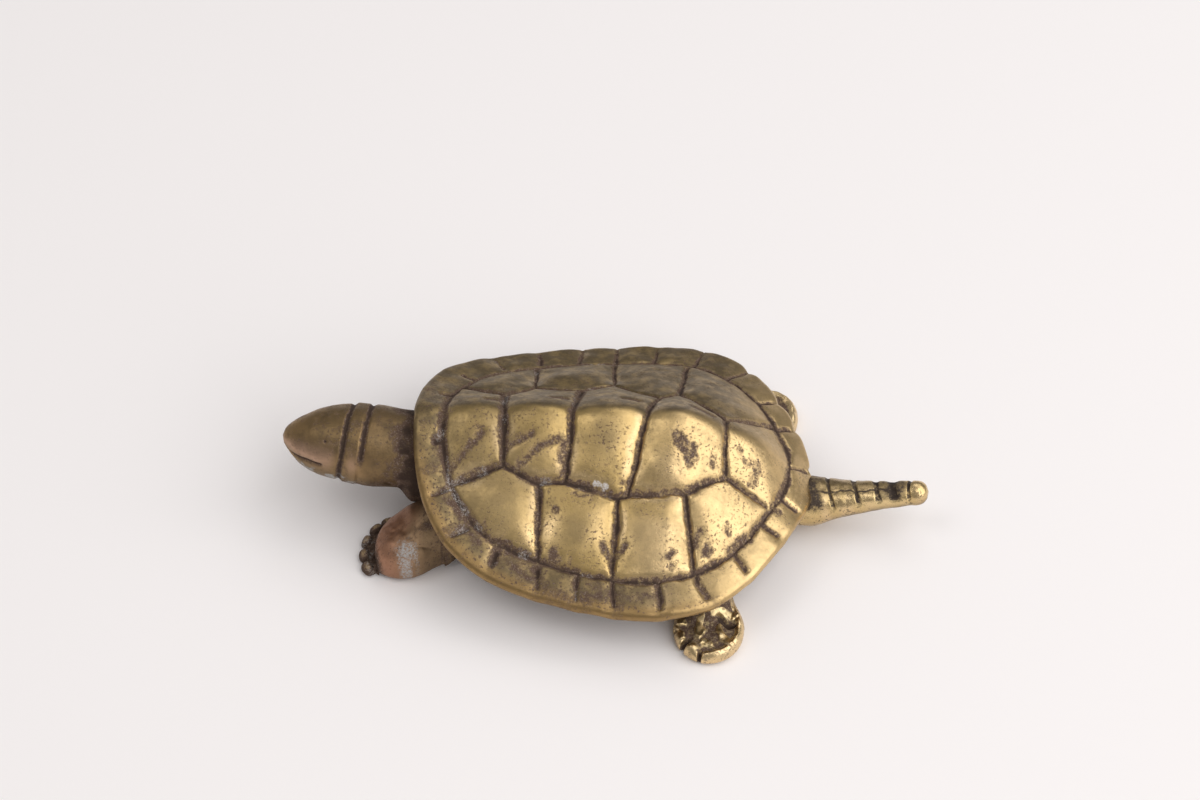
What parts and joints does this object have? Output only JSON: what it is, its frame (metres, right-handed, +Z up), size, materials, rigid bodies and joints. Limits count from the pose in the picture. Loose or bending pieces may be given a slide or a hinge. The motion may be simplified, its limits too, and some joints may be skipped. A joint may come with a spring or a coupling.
{
  "type": "turtle figurine",
  "caption": "Small cast brass turtle standing on flat soles, with a keeled scute-pattern shell, pointed head on a collared neck and ringed tail; a desk ornament or paperweight.",
  "frame": {"origin": "middle of the bounding box in plan, on the ground under the soles", "axes": "+X toward the head, +Y to the turtle's left, +Z up"},
  "size_m": [0.0776, 0.0454, 0.0185],
  "materials": {
    "shell_brass": "worn polished brass with dark brown patina in the seams",
    "body_brass": "dark unpolished cast brass",
    "head_brass": "satin brown-olive patina",
    "front_leg_brass": "reddish patina with grey deposits",
    "hind_leg_brass": "polished brass with dark patina",
    "tail_brass": "polished brass with dark rings"
  },
  "bodies": {
    "root": {"carapace": "shell_brass", "plastron": "body_brass", "head_and_neck": "head_brass", "front_left_leg": "front_leg_brass", "front_right_leg": "front_leg_brass", "hind_left_leg": "hind_leg_brass", "hind_right_leg": "hind_leg_brass", "tail": "tail_brass"}
  },
  "joints": []
}
